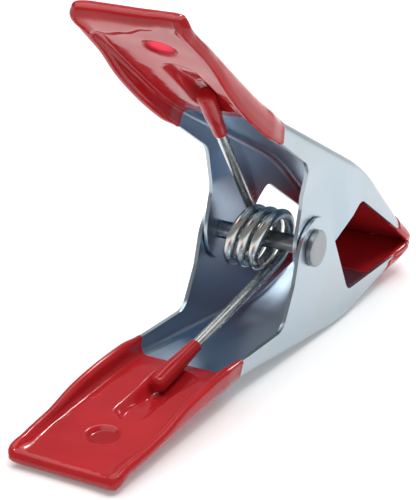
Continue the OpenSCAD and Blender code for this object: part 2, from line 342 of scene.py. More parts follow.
    def curl(self, a):
        """Angle by which the lip has turned away from the handle's flat."""
        return np.maximum(self.lip_a - np.asarray(a, float), 0) / self.lip_radius

    def behind_flare(self, a):
        """Distance back along the handle from its flare."""
        return self.flare_a - np.asarray(a, float)


FORM = JawForm()
GROOVE_DEPTH = 2.75
INNER, MIDDLE, OUTER = -1, 0, 1
GROOVE_RADII = {INNER: (2.3, 5.1), MIDDLE: (3.2, 5.9), OUTER: (4.0, 6.9)}
FILM_DEPTH = {INNER: 0.62, OUTER: 0.9}
HANG_HOLE_RADIUS = 5.05
LIP_FACE = FORM.lip_radius + HALF_SHEET + SKIN


class Handle:
    """Where one handle's hang hole and groove lie: along it behind the flare, and across it."""

    def __init__(self, lower):
        self.lower = lower
        self.hole = (36.6, 1.0) if lower else (37.9, -1.8)
        self.groove = (4.3, 23.6, 1.4) if lower else (4.3, 24.0, -1.0)
        self.leg = (10.6, 0.3) if lower else (10.6, -1.3)

    def pressed(self, a, y, face):
        """How far the handle's web is pressed outward by the groove, with the sheet's slight crown."""
        x = FORM.behind_flare(a)
        start, end, middle = self.groove
        gap = np.hypot(x - np.clip(x, start, end), y - middle) / (1.25 - 0.25 * ease(x, 2, 15))
        floor, rim = GROOVE_RADII[face]
        crown = 0.25 * (1 - np.clip(np.abs(y) / 11, 0, 1) ** 2) * ease(x, 0, 12) * ease(44.6 - x, 0, 8)
        deep = GROOVE_DEPTH * (0.3 + 0.7 * ease(x, -2, 10)) * (1 - 0.45 * ease(x, 12, 23))
        return deep * (1 - ease(gap, floor, rim)) + crown

    def coated(self, a, y, face):
        """The same on a face of the coat, with the film over the hole and the dip's gathers inside."""
        x = FORM.behind_flare(a)
        away = np.hypot(x - self.hole[0], y - self.hole[1])
        film = FILM_DEPTH[face] * (1 - ease(away, 3.1, 4.8))
        sag = 0.2 * (1 - np.clip(away / 4.2, 0, 1) ** 2)
        push = self.pressed(a, y, face) - face * film + sag
        if face == OUTER:
            return push + 0.35 * (1 - np.clip(np.abs(y) / 15, 0, 1) ** 2) * ease(FORM.curl(a), 0.1, 0.6)
        return self.gathered(a, y, x, push)

    def gathered(self, a, y, x, push):
        """The inner face's rim round the spring's leg, the filled lip and the upper lip's pooled roll."""
        rim = np.hypot(x - self.leg[0], y - self.leg[1])
        push = push - 0.2 * np.exp(-(((rim - 2.8) / 0.32) ** 2))
        curl = FORM.curl(a)
        ridge = 5.63 - 0.55 * ease(curl, 0.5, 0.73) + 0.09 * np.sin(y * 0.7) + 0.05 * np.sin(y * 2.3 + 1)
        level = LIP_FACE / np.cos(curl)
        push = push - soft_least(level, ridge) + soft_least(LIP_FACE, ridge)
        if self.lower:
            return push
        pool = FORM.lip_a + 6.2 - 9.2 * ease(-y, -10, 14) + 0.3 * np.sin(y * 0.9)
        return push - 0.8 * (1 - ease(a, pool - 2.2, pool + 1.4))


HANDLES = {True: Handle(True), False: Handle(False)}


# ---------------------------------------------------------------- the steel jaws


RIVET_HOLE_RADIUS = 2.62
EAR_STRETCH = (-19.5, 35.5)
EAR_COLUMNS = 46
LIP_HALF_WIDTH = 14.0


def ear_draw(p):
    """Share of the set-in that a flange point gets, from its distance to the pivot."""
    return 1 - ease(np.hypot(p[:, 0], p[:, 1]), 14.4, 24.2)


def ear_plate(first, last, columns_first, columns_last):
    """The flat of one flange between two columns of the folded grid, with the ear."""
    a = np.linspace(first, last, EAR_COLUMNS)
    p, _, up = FORM.line(a)
    fold = p - up * FORM.corner(a)[:, None]
    outline = FORM.outline
    start = next(i for i in range(len(outline)) if outline[i, 0] < columns_last[-1][0] - 0.25)
    heel = [outline[-1] + (columns_first[-1] - outline[-1]) * t for t in (1 / 3, 2 / 3)]
    ring = list(fold) + list(columns_last[1:]) + list(outline[start:]) + heel
    ring = np.array(ring + list(columns_first[::-1])[:-1])
    inside = []
    for radius in (14.0, 15.0, 16.2, 17.5, 18.8, 20.1, 21.4, 22.6, 23.7):
        for angle in range(0, 360, 5):
            inside.append(radius * direction(angle))
    for u in np.arange(-20, 37, 2.1):
        for v in np.arange(-9, 28, 2.1):
            if not 12.9 < np.hypot(u, v) < 24.8 and np.hypot(u, v) > 4.0:
                inside.append(np.array([u, v]))
    hole = [RIVET_HOLE_RADIUS * direction(angle) for angle in range(0, 360, 10)]
    inside = [q for q in inside if np.min(np.hypot(*(ring - q).T)) > 0.75 and within(q, ring)]
    count = len(ring)
    points = [Vector(q) for q in ring] + [Vector(q) for q in hole] + [Vector(q) for q in inside]
    loops = [list(range(count)), list(range(count, count + len(hole)))]
    verts, _, faces, _, _, _ = delaunay_2d_cdt(points, [], loops, 1, 1e-5)
    flat = np.array([[q.x, q.y] for q in verts])
    kept = [f for f in faces if np.hypot(*flat[list(f)].mean(0)) > RIVET_HOLE_RADIUS - 0.02]
    return flat, kept


def within(q, ring):
    """Whether a point lies inside a closed outline."""
    x, y = ring[:, 0], ring[:, 1]
    x2, y2 = np.roll(x, -1), np.roll(y, -1)
    at = (x2 - x) * (q[1] - y) / np.where(y2 == y, 1e-12, y2 - y) + x
    cross = ((y > q[1]) != (y2 > q[1])) & (q[0] < at)
    return bool(cross.sum() % 2)


def lip_width(x, half, corner=2.4):
    """Share of the lip's half width at a distance from its end, for rounded corners."""
    x = np.clip(x, 0, corner)
    return (half - corner + np.sqrt(corner**2 - (corner - x) ** 2)) / half


def folded_sheet(lower, first, last):
    """Web, folds and flanges of one jaw with the ears' stretch left open, and its two bounding columns."""
    end = FORM.tip_a - 3.4
    stations = np.concatenate([
        np.linspace(0.5, FORM.lip_a, 9)[:-1],
        np.arange(FORM.lip_a, first - 0.4, 0.8),
        np.linspace(first, last, EAR_COLUMNS),
        np.arange(last + 1.2, end - 0.6, 1.2),
        [end],
    ])
    web = np.linspace(0, 1, 15)
    turn = np.linspace(0, 1, 9)[1:]
    drop = np.linspace(0, 1, 9)
    reach = FORM.reach(stations)
    r = FORM.corner(stations)
    fold = FLANGE_Y - r
    arc = r * np.pi / 2
    room = np.maximum(reach - fold, 0.02)
    share = np.where(room > arc + 0.5, arc, room * 0.93)
    lateral = np.column_stack([fold[:, None] * web, fold[:, None] + share[:, None] * turn])
    tail = (reach - fold - share)[:, None] * drop + (fold + share)[:, None]
    tail[:, 0] = lateral[:, -1]
    points, faces = [], []
    for side in (1, -1):
        start = len(points)
        for a, s in zip(stations, lateral):
            s = s * lip_width(a - 0.5, LIP_HALF_WIDTH)
            at = np.full(len(s), a)
            points.extend(FORM.place(at, s, 0.0, side, HANDLES[lower].pressed(at, side * s, MIDDLE)))
        faces.extend(grid_faces(len(stations), lateral.shape[1], start=start))
        for group in (stations <= first + 1e-6, stations >= last - 1e-6):
            start = len(points)
            for a, s in zip(stations[group], tail[group]):
                s = s * lip_width(a - 0.5, LIP_HALF_WIDTH)
                points.extend(FORM.place(np.full(len(s), a), s, 0.0, side))
            faces.extend(grid_faces(int(group.sum()), len(drop), start=start))
    columns = []
    for at in (first, last):
        i = int(np.argmin(np.abs(stations - at)))
        columns.append(FORM.place(np.full(len(drop), stations[i]), tail[i], 0.0, 1)[:, [0, 2]])
    return points, faces, columns


def punch_hang_hole(points, faces, lower):
    """Draw the nearest points onto the hole's rim, and leave out the faces inside it."""
    handle_from, near_rim = -60, 0.42
    handle = points[:, 0] < handle_from
    slope = np.radians(FORM.handle_slope)
    x = (FORM.flare_u - points[:, 0]) / np.cos(slope) - HALF_SHEET * np.tan(slope)
    hole_x, hole_y = HANDLES[lower].hole
    away = np.hypot(x - hole_x, points[:, 1] - hole_y)
    snap = handle & (np.abs(away - HANG_HOLE_RADIUS) < near_rim)
    scale = np.where(snap, HANG_HOLE_RADIUS / np.maximum(away, 1e-6), 1)
    moved = (x - hole_x) * (scale - 1)
    points[:, 0] -= moved * np.cos(slope)
    points[:, 2] += moved * np.sin(slope)
    points[:, 1] = hole_y + (points[:, 1] - hole_y) * scale
    away = np.where(handle, away * scale, 99)
    return [f for f in faces if np.mean(away[list(f)]) > HANG_HOLE_RADIUS - 0.15]


def jaw_steel(name, body, lower, set_in, node, material):
    """One pressed sheet: folded grid, two flange plates with ears, thickness and broken edges."""
    first, last = (float(np.interp(u, FORM.places[:, 0], FORM.lengths)) for u in EAR_STRETCH)
    points, faces, columns = folded_sheet(lower, first, last)
    flat, plate = ear_plate(first, last, *columns)
    for side in (1, -1):
        start = len(points)
        y = FLANGE_Y - set_in * ear_draw(flat)
        points.extend(np.column_stack([flat[:, 0], side * y, flat[:, 1]]))
        faces.extend([tuple(start + i for i in f) for f in plate])
    points = np.array(points)
    faces = punch_hang_hole(points, faces, lower)
    piece = new_piece(name, set_down(points, lower), faces, material[0], None, node,
                      smooth_angle=80)
    mesh = piece.data
    # The second material goes on the inward-facing shell by the material offset: the plate tinted bluer as
    # painted reflection.
    mesh.materials.append(material[1])
    outermost = min if lower else max
    web = outermost(mesh.polygons, key=lambda f: f.center.z)
    if (web.normal.z > 0) == lower:
        mesh.flip_normals()
    thick = piece.modifiers.new("Sheet thickness", "SOLIDIFY")
    thick.thickness = SHEET * MM
    thick.offset = 0
    thick.material_offset = 1
    broken = piece.modifiers.new("Broken edges", "BEVEL")
    broken.limit_method = "ANGLE"
    broken.angle_limit = np.radians(60)
    broken.width = 0.2 * MM
    broken.segments = 3
    piece.modifiers.new("Even shading", "WEIGHTED_NORMAL").keep_sharp = True
    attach(piece, body)


# ---------------------------------------------------------------- dipped vinyl


def half_columns(web_n, fold_n, flange_n):
    """Places across half a section: 0 to 1 on the web, 1 to 2 round the fold, 2 to 3 down the flange."""
    return np.concatenate([
        np.linspace(0, 1, web_n, endpoint=False),
        np.linspace(1, 2, fold_n, endpoint=False),
        np.linspace(2, 3, flange_n + 1),
    ])


def section_lengths(a, across):
    """Lengths from the web's middle, for places across the section at lengths along the jaw."""
    reach = FORM.reach(a) - HALF_SHEET
    radius = FORM.corner(a)
    fold = FLANGE_Y - radius
    room = np.maximum(reach - fold, 0.05)
    arc = np.where(room > radius * np.pi / 2 + 0.5, radius * np.pi / 2, room * 0.92)
    on_web, on_fold, on_flange = (np.clip(across - i, 0, 1) for i in range(3))
    return fold * on_web + arc * on_fold + (room - arc) * on_flange


def drained_thickness(left):
    """Half thickness of sheet and coat, by distance from the drained edge, where the dip runs thin."""
    thin, sunk = 0.3, 0.08
    skin = thin + (COAT - thin) * ease(left, 0, 9)
    rise = np.sqrt(1 - (1 - np.clip(left / 0.5, 0, 1)) ** 2)
    return HALF_SHEET - sunk + (skin + sunk) * rise + 0.06 * np.exp(-(((left - 1.0) / 0.6) ** 2))


BEAD_STEPS = 12
GRIP_START, TIP_START = 0.55, FORM.tip_a - 0.8


class Coat:
    """A dipped coat from its closed end, which wraps the sheet, to its drained edge on the steel."""

    def __init__(self, closed_at, edge, shares, columns, seed, wave, pressing=None, trim=None, nose=1.0):
        self.closed_at = closed_at
        self.edge = edge
        self.shares = shares
        self.across = half_columns(*columns)
        self.angles = np.pi * np.arange(1, BEAD_STEPS) / BEAD_STEPS
        self.seed = seed
        self.wave = wave
        self.pressing = pressing
        self.trim = trim
        self.nose = nose

    def swell(self, a):
        """The dip gathers thicker at the lip's corners."""
        return 0.25 * (1 - ease(a, FORM.lip_a - 1.5, FORM.lip_a + 8)) * ease(self.across, 0.2, 1.6)

    def half_ring(self, share, side):
        """Outer face, bead round the free edge and inner face of one side at one share of the length."""
        faces, ends = [], []
        for face in (OUTER, INNER):
            stop = self.edge(self.across * side, face)
            a = self.closed_at + (stop - self.closed_at) * share
            s = section_lengths(a, self.across)
            if self.trim:
                s = self.trim(a, s)
            h = drained_thickness(np.abs(stop - a)) + self.swell(a)
            press = self.pressing(a, side * s, face) if self.pressing else 0.0
            faces.append(FORM.place(a, s, face * h, side, press))
            ends.append((a[-1], s[-1], h[-1]))
        w = self.angles / np.pi
        a, s, h = (ends[0][i] * (1 - w) + ends[1][i] * w for i in range(3))
        centre = FORM.place(a, s, 0.0, side)
        outward = FORM.place(a, s, 1.0, side) - centre
        onward = FORM.place(a, s + 0.01, 0.0, side) - FORM.place(a, s - 0.01, 0.0, side)
        onward /= np.linalg.norm(onward, axis=1)[:, None]
        c, n = np.cos(self.angles)[:, None], np.sin(self.angles)[:, None]
        return faces[0], centre + h[:, None] * (c * outward + n * onward), faces[1]

    def closed_end(self, ring, parts, start):
        """Rings that shrink from the first one, round the end, onto the middle of the thickness."""
        outer, right, inner, left = parts
        _, along, _ = FORM.line(np.array([self.closed_at]))
        way = np.sign(self.edge(np.zeros(1), 1)[0] - self.closed_at)
        ahead = -way * np.array([along[0, 0], 0, along[0, 1]])
        middle = np.empty_like(ring)
        middle[outer] = middle[inner] = (ring[outer] + ring[inner]) / 2
        middle[right], middle[left] = middle[outer[-1]], middle[outer[0]]
        radius = np.empty(len(ring))
        radius[outer] = radius[inner] = np.linalg.norm(ring[outer] - ring[inner], axis=1) / 2
        radius[right], radius[left] = radius[outer[-1]], radius[outer[0]]
        points, faces = [], []
        for k, angle in enumerate(self.angles[: BEAD_STEPS // 2]):
            here = start + k * len(ring)
            before = 0 if k == 0 else here - len(ring)
            forward = np.sin(angle) * self.nose * radius[:, None] * ahead
            points.extend(middle + np.cos(angle) * (ring - middle) + forward)
            for c in range(len(ring)):
                beside = (c + 1) % len(ring)
                faces.append((before + beside, before + c, here + c, here + beside))
        return points, faces

    def build(self):
        """Points and faces: the rings along the coat, its closed end and its drained end."""
        n, m = len(self.across), len(self.angles)
        rings = []
        for share in self.shares:
            out_r, bead_r, in_r = self.half_ring(share, 1)
            out_l, bead_l, in_l = self.half_ring(share, -1)
            rings.append(np.vstack([out_l[:0:-1], out_r, bead_r, in_r[:0:-1], in_l, bead_l[::-1]]))
        width, wide = len(rings[0]), 2 * n - 1
        points = np.vstack(rings)
        faces = grid_faces(len(rings), width, closed=True)
        outer = list(range(wide))
        right = [wide + i for i in range(m)]
        inner = [wide + m + i for i in range(wide)][::-1]
        left = [2 * wide + m + i for i in range(m)][::-1]
        extra, cap = self.closed_end(rings[0], (outer, right, inner, left), len(points))
        faces += cap
        last = (len(rings) - 1) * width
        for c in range(wide - 1):
            faces.append(tuple(last + i for i in (outer[c], outer[c + 1], inner[c + 1], inner[c])))
        faces.append(tuple(last + i for i in [outer[-1]] + right + [inner[-1]]))
        faces.append(tuple(last + i for i in [outer[0]] + left + [inner[0]]))
        points = np.vstack([points, np.array(extra)])
        drift = np.column_stack([ripple(points, 17, self.seed + i) for i in range(3)])
        return points + self.wave * drift, faces


def ring_shares(n, even):
    """Shares of a coat's length for its rings: even steps up to a share, then finer ones to the edge."""
    return np.concatenate([np.linspace(0, even, n), 1 - (1 - even) * np.linspace(1, 0, 13)[1:] ** 1.6])


def grip_edge(lower):
    """Where a handle's dip ends on each face, in length along the jaw."""
    dip_line = -32.4 if lower else -29.0
    base = float(np.interp(dip_line, FORM.places[:, 0], FORM.lengths))

    def edge(place, face):
        flange = np.clip(np.abs(place) - 1, 0, 2) / 2
        return base + 0.25 * np.sin(place * 1.9 + face) + 0.9 * flange**2 - 0.35 * flange * (face < 0)

    return edge


def grip_trim(a, s):
    """Rounded corners of the lip in its own plane."""
    return s * lip_width(np.asarray(a) + 0.4, FLANGE_Y, 5.0)


def tip_edge(lower):
    """Where a tip's dip ends on each face, in length along the jaw."""
    start, lean = (56.2, 6.2) if lower else (60.4, 2.2)

    def edge(place, face):
        flange = np.clip(np.abs(place) - 1, 0, 2) / 2
        outer = start + lean * flange**1.4 + 0.3 * np.sin(place * 2.3)
        inner = 53.0 + 1.2 * flange + 0.3 * np.sin(place * 1.7 + 1)
        return np.interp(np.where(face > 0, outer, inner), FORM.places[:, 0], FORM.lengths)

    return edge


def press_shut(points, low, end):
    """Press a tip flat where the two tips meet, so that nothing lies below low or past end."""
    soft, over = 0.2, 0.5
    v = points[:, 2] - 0.13 * np.clip(1 - points[:, 2] / 0.7, 0, 1)
    points[:, 2] = np.where(v < low + soft, low + soft * np.exp((v - low - soft) / soft), v)
    u = points[:, 0]
    points[:, 0] = np.where(u > end - over, end - over * np.exp(-(u - end + over) / over), u)


# ---------------------------------------------------------------- rivet, spring and sleeves

WIRE_RADIUS = 1.45
COIL_RADIUS, COIL_PITCH, COIL_LEAN = 7.7, 3.75, np.radians(12)
COIL_X, COIL_Y = -1.5, 0.9
LEG_SLOPE, LEG_LENGTH = np.radians(30.9), 59.2
FIRST_ANGLE = np.degrees(LEG_SLOPE) - 90
FULL_TURNS = 3 * 360
SWEEP = FULL_TURNS - 2 * FIRST_ANGLE
UPPER_LEG_SHIFT = np.array([0.3, -1.2, 0.5])
SLEEVE_OVERHANG = 0.6


def coil_point(angle):
    """Middle of the wire at an angle round the coil."""
    a = np.radians(angle)
    y = COIL_Y + COIL_PITCH * (angle - FULL_TURNS / 2) / 360 - np.tan(COIL_LEAN) * COIL_RADIUS * np.sin(a)
    return np.column_stack([COIL_X + COIL_RADIUS * np.cos(a), y, COIL_RADIUS * np.sin(a)])


def leg_ends(side):
    """Where a leg leaves the coil and where it ends, on its jaw's side."""
    top = coil_point(np.array([FIRST_ANGLE if side < 0 else FIRST_ANGLE + SWEEP]))[0]
    tip_x = COIL_X + COIL_RADIUS * np.sin(LEG_SLOPE) - LEG_LENGTH * np.cos(LEG_SLOPE)
    tip_z = COIL_RADIUS * np.cos(LEG_SLOPE) + LEG_LENGTH * np.sin(LEG_SLOPE)
    tip = np.array([tip_x, 0.0, side * tip_z])
    return top, tip if side < 0 else tip + UPPER_LEG_SHIFT


def spring_line():
    """Middle line of the whole wire with soft runs from the coil into the legs, and where its parts meet."""
    low_top, low_tip = leg_ends(-1)
    up_top, up_tip = leg_ends(1)
    leg_points, coil_points, softenings, parted = 118, 420, 30, 112
    share = np.linspace(0, 1, leg_points)[:, None]
    line = np.vstack([
        low_tip + (low_top - low_tip) * share[:-1],
        coil_point(np.linspace(FIRST_ANGLE, FIRST_ANGLE + SWEEP, coil_points)),
        up_top + (up_tip - up_top) * share[1:],
    ])
    for _ in range(softenings):
        line[1:-1] = (line[:-2] + 2 * line[1:-1] + line[2:]) / 4
    return line, parted, len(line) - parted


def tube(line, radius, sides, closed_start, closed_end):
    """A round bar along a line, with a flat at each end that is closed."""
    ahead = np.gradient(line, axis=0)
    ahead /= np.linalg.norm(ahead, axis=1)[:, None]
    normal = np.cross(ahead[0], [0.3, 1.0, 0.2])
    normals = []
    for t in ahead:
        normal = normal - (normal @ t) * t
        normal /= np.linalg.norm(normal)
        normals.append(normal)
    normals = np.array(normals)
    cross = np.cross(ahead, normals)
    angle = np.linspace(0, 2 * np.pi, sides, endpoint=False)
    points = [line + radius * (np.cos(k) * normals + np.sin(k) * cross) for k in angle]
    points = np.stack(points, 1).reshape(-1, 3)
    faces = grid_faces(len(line), sides, closed=True)
    if closed_start:
        faces.append(tuple(range(sides))[::-1])
    if closed_end:
        faces.append(tuple((len(line) - 1) * sides + i for i in range(sides)))
    return points, faces


def lathe(profile, origin, axis, sides=72):
    """A turned shape from radii and heights along an axis, in millimetres."""
    axis = np.array(axis, float) / np.linalg.norm(axis)
    first = np.cross(axis, [0.0, 1.0, 0.0] if abs(axis[1]) < 0.9 else [1.0, 0.0, 0.0])
    first /= np.linalg.norm(first)
    second = np.cross(axis, first)
    angle = np.linspace(0, 2 * np.pi, sides, endpoint=False)
    ring = np.cos(angle)[:, None] * first + np.sin(angle)[:, None] * second
    points = np.vstack([np.array(origin) + axis * h + ring * r for r, h in profile])
    return points, grid_faces(len(profile), sides, closed=True)


def rounded(r, h, radius, start, stop, n=6):
    """Profile points of a rounded corner with its centre at r, h."""
    angles = np.radians(np.linspace(start, stop, n))
    return [(r + radius * np.cos(t), h + radius * np.sin(t)) for t in angles]


def rivet_profile():
    """Half of the rivet from its middle: shank, underside, soft rim, nearly flat head with a faint ring."""
    shank, top = 2.5, 17.3
    return (
        [(shank, 0), (shank, HALF_WIDTH + 0.02), (4.75, HALF_WIDTH + 0.02)]
        + rounded(4.82, HALF_WIDTH + 0.32, 0.28, -90, 0, 5)
        + rounded(4.74, top - 0.38, 0.36, 0, 80, 7)
        + [(4.2, top + 0.03), (3.4, top + 0.05), (2.0, top + 0.03), (1.0, top), (0.0005, top - 0.01)]
    )


def sleeve_profile(radius, length, side):
    """Half of a sleeve: a thin lip on the wire, a swelling tube with a faint wave, a rounded closed end."""
    bore, entry, rounding = WIRE_RADIUS + 0.03, WIRE_RADIUS + 0.42, 1.7
    swell, wave = radius - entry, 0.03
    taper = [
        (entry + swell * ease(t, 0.0, 0.72) + wave * np.sin(t * 14 + side), 0.3 + t * (length - 2.1))
        for t in np.linspace(0, 1, 22)
    ]
    return (
        [(bore, 1.2), (bore, 0.15), (WIRE_RADIUS + 0.14, 0.03)]
        + rounded(entry - 0.2, 0.2, 0.2, -90, 0, 4)
        + taper[1:]
        + rounded(radius - rounding, length - rounding, rounding, 8, 84, 12)
        + [(0.5, length - 0.02), (0.0005, length - 0.03)]
    )


# ---------------------------------------------------------------- finishes


class Finish:
    """A node material with short ways to add its parts."""

    def __init__(self, name):
        self.material = bpy.data.materials.new(name)
        self.material.use_nodes = True
        self.tree = self.material.node_tree
        self.tree.nodes.clear()
        self.out = self.add("ShaderNodeOutputMaterial")
        self.surface = self.add("ShaderNodeBsdfPrincipled")
        self.join(self.surface.outputs[0], self.out.inputs["Surface"])
        self.place = self.add("ShaderNodeTexCoord").outputs["Object"]

    def add(self, kind, **values):
        """A new node with its settings."""
        node = self.tree.nodes.new(kind)
        for key, value in values.items():
            setattr(node, key, value)
        return node

    def join(self, value, socket):
        """Join another node's output to a socket, or set the socket's own value."""
        if isinstance(value, bpy.types.NodeSocket):
            self.tree.links.new(value, socket)
        elif isinstance(value, (tuple, list)) and socket.type == "RGBA":
            socket.default_value = (*value, 1)
        else:
            socket.default_value = value

    def set(self, **values):
        """Inputs of the surface, by their names."""
        for key, value in values.items():
            self.join(value, self.surface.inputs[key.replace("_", " ")])

    def stretch(self, source, scale, turn=(0, 0, 0)):
        """Places scaled and turned."""
        node = self.add("ShaderNodeMapping")
        self.join(scale, node.inputs["Scale"])
        self.join(turn, node.inputs["Rotation"])
        self.join(source, node.inputs["Vector"])
        return node.outputs[0]

    def noise(self, scale, detail=3.0, rough=0.5, source=None, twist=0.0):
        """Soft noise over the piece."""
        node = self.add("ShaderNodeTexNoise")
        self.join(scale, node.inputs["Scale"])
        self.join(detail, node.inputs["Detail"])
        self.join(rough, node.inputs["Roughness"])
        self.join(twist, node.inputs["Distortion"])
        self.join(source or self.place, node.inputs["Vector"])
        return node.outputs["Fac"]

    def cells(self, scale):
        """Distance to the nearest of many scattered points."""
        node = self.add("ShaderNodeTexVoronoi")
        self.join(scale, node.inputs["Scale"])
        self.join(self.place, node.inputs["Vector"])
        return node.outputs["Distance"]

    def ramp(self, source, stops):
        """Greys between a few stops."""
        node = self.add("ShaderNodeValToRGB")
        bar = node.color_ramp
        while len(bar.elements) < len(stops):
            bar.elements.new(0.5)
        for element, (at, grey) in zip(bar.elements, stops):
            element.position = at
            element.color = (grey, grey, grey, 1)
        self.join(source, node.inputs[0])
        return node.outputs[0]

    def blend(self, factor, a, b):
        """A colour between two."""
        node = self.add("ShaderNodeMix", data_type="RGBA", blend_type="MIX")
        for value, at in ((factor, 0), (a, 6), (b, 7)):
            self.join(value, node.inputs[at])
        return node.outputs[2]

    def sum(self, kind, a, b):
        """A sum, a product or a least value."""
        node = self.add("ShaderNodeMath", operation=kind)
        self.join(a, node.inputs[0])
        self.join(b, node.inputs[1])
        return node.outputs[0]

    def vector(self, kind, a, b):
        """A difference or a product of two vectors."""
        node = self.add("ShaderNodeVectorMath", operation=kind)
        self.join(a, node.inputs[0])
        self.join(b, node.inputs[1])
        return node.outputs[0]

    def bump(self, height, strength, distance, before=None):
        """The shading's normal, tilted by a height."""
        node = self.add("ShaderNodeBump")
        self.join(strength, node.inputs["Strength"])
        self.join(distance, node.inputs["Distance"])
        self.join(height, node.inputs["Height"])
        if before:
            self.join(before, node.inputs["Normal"])
        return node.outputs[0]


def plated_sheet(colour, name):
    """Bright plate on rolled sheet: blue and rose clouds, satin rolling lines, rubbed spots, pin pricks."""
    f = Finish(name)
    cool = tuple(c * k for c, k in zip(colour, (0.93, 0.99, 1.05)))
    rose = tuple(c * k for c, k in zip(colour, (1.06, 0.97, 1.02)))
    clouds = f.noise(38, 3, 0.45, twist=0.6)
    tint = f.blend(f.ramp(clouds, [(0.36, 0.0), (0.66, 1.0)]), cool, colour)
    tint = f.blend(f.ramp(f.noise(21, 2, 0.4, twist=1.2), [(0.5, 0.0), (0.72, 0.55)]), tint, rose)
    rubbed = f.ramp(f.noise(95, 5, 0.62), [(0.54, 0.0), (0.82, 0.25)])
    tint = f.blend(rubbed, tint, tuple(min(1.0, c * 1.12) for c in colour))
    prick = f.ramp(f.cells(260), [(0.045, 0.5), (0.075, 0.0)])
    tint = f.blend(prick, tint, tuple(c * 0.45 for c in colour))
    rolled = f.noise(1.0, 4, 0.6, source=f.stretch(f.place, (70, 900, 900)))
    rough = f.sum("ADD", f.ramp(clouds, [(0.3, 0.24), (0.7, 0.34)]), f.sum("MULTIPLY", rolled, 0.06))
    soft = f.bump(f.noise(30, 2, 0.4), 0.5, 0.00022)
    grain = f.bump(rolled, 0.10, 0.00004, soft)
    fine = f.bump(f.noise(1500, 2, 0.5), 0.08, 0.00003, grain)
    f.set(Base_Color=tint, Metallic=1.0, Roughness=rough, Normal=fine)
    return f.material


def rivet_metal(colour):
    """Pressed head: patchy wear, a few scratches and small pits."""
    f = Finish("Rivet steel")
    worn = f.noise(160, 5, 0.6, twist=0.4)
    tint = f.blend(f.ramp(worn, [(0.4, 0.0), (0.7, 1.0)]), tuple(c * 0.9 for c in colour), colour)
    scratch = f.noise(1.0, 2, 0.5, source=f.stretch(f.place, (2600, 160, 240), (0, 0.7, 0.3)), twist=0.3)
    lines = f.ramp(scratch, [(0.70, 0.0), (0.76, 1.0)])
    pit = f.ramp(f.cells(420), [(0.07, 1.0), (0.12, 0.0)])
    tint = f.blend(f.sum("MULTIPLY", pit, 0.5), tint, tuple(c * 0.4 for c in colour))
    rough = f.sum("ADD", f.ramp(worn, [(0.35, 0.26), (0.7, 0.36)]), f.sum("MULTIPLY", lines, 0.12))
    normal = f.bump(f.noise(55, 2, 0.4), 0.4, 0.00012)
    normal = f.bump(lines, 0.25, 0.00002, normal)
    f.set(Base_Color=tint, Metallic=1.0, Roughness=rough, Normal=normal)
    return f.material


def drawn_wire(colour):
    """Bright spring wire, slightly uneven, with dull and warm patches."""
    f = Finish("Spring wire")
    cloud = f.noise(120, 4, 0.6, twist=0.5)
    tint = f.blend(f.ramp(cloud, [(0.35, 0.0), (0.7, 1.0)]), tuple(c * 0.82 for c in colour), colour)
    warm = f.ramp(f.noise(260, 3, 0.5), [(0.6, 0.0), (0.8, 0.4)])
    tint = f.blend(warm, tint, (0.55, 0.50, 0.45))
    rough = f.ramp(cloud, [(0.3, 0.2), (0.75, 0.33)])
    normal = f.bump(f.noise(420, 3, 0.5), 0.12, 0.00006)
    f.set(Base_Color=tint, Metallic=1.0, Roughness=rough, Normal=normal)
    return f.material


def vinyl(colour, name, hole=None, clear=0.0):
    """Dipped soft vinyl: glossy red, slow waves, dust specks; the film over a hole lets light through."""
    f = Finish(name)
    deep = tuple(c * k for c, k in zip(colour, (0.80, 0.7, 0.75)))
    shade = f.ramp(f.noise(42, 3, 0.5, twist=0.5), [(0.35, 0.0), (0.7, 1.0)])
    tint = f.blend(shade, deep, colour)
    dust = f.ramp(f.noise(900, 3, 0.7), [(0.70, 0.0), (0.80, 0.35)])
    tint = f.blend(dust, tint, tuple(min(1.0, c + 0.10) for c in colour))
    rough = f.ramp(f.noise(65, 4, 0.6), [(0.3, 0.09), (0.75, 0.19)])
    waves = f.bump(f.noise(70, 2, 0.45, twist=0.4), 0.6, 0.0006)
    peel = f.bump(f.noise(520, 2, 0.5), 0.10, 0.00006, waves)
    f.set(Base_Color=tint, Roughness=rough, Normal=peel, IOR=1.4, Subsurface_Weight=0.12,
          Subsurface_Radius=(0.9, 0.12, 0.08), Subsurface_Scale=0.0012)
    if hole is not None:
        centre, axis = hole
        side = f.vector("CROSS_PRODUCT", f.vector("SUBTRACT", f.place, centre), axis)
        length = f.add("ShaderNodeVectorMath", operation="LENGTH")
        f.join(side, length.inputs[0])
        near = f.ramp(f.sum("MULTIPLY", length.outputs["Value"], 100), [(0.34, 1.0), (0.44, 0.0)])
        glow = f.add("ShaderNodeBsdfTranslucent")
        f.join((1.0, 0.25, 0.33), glow.inputs["Color"])
        mix = f.add("ShaderNodeMixShader")
        f.join(f.sum("MULTIPLY", near, clear), mix.inputs[0])
        f.join(f.surface.outputs[0], mix.inputs[1])
        f.join(glow.outputs[0], mix.inputs[2])
        f.join(mix.outputs[0], f.out.inputs["Surface"])
    return f.material


def seamless_floor(colour, lift):
    """Pale floor that keeps the shadow, and is lifted to near white where it is seen."""
    f = Finish("Pale floor")
    f.tree.nodes.remove(f.surface)
    matt = f.add("ShaderNodeBsdfDiffuse")
    f.join(colour, matt.inputs["Color"])
    rays = f.add("ShaderNodeLightPath")
    seen = f.sum("ADD", rays.outputs["Is Camera Ray"], rays.outputs["Is Glossy Ray"])
    seen = f.sum("MINIMUM", f.sum("ADD", seen, rays.outputs["Is Transmission Ray"]), 1.0)
    glow = f.add("ShaderNodeEmission")
    f.join(f.sum("MULTIPLY", seen, lift), glow.inputs["Strength"])
    both = f.add("ShaderNodeAddShader")
    f.join(matt.outputs[0], both.inputs[0])
    f.join(glow.outputs[0], both.inputs[1])
    f.join(both.outputs[0], f.out.inputs["Surface"])
    return f.material


# ---------------------------------------------------------------- settings


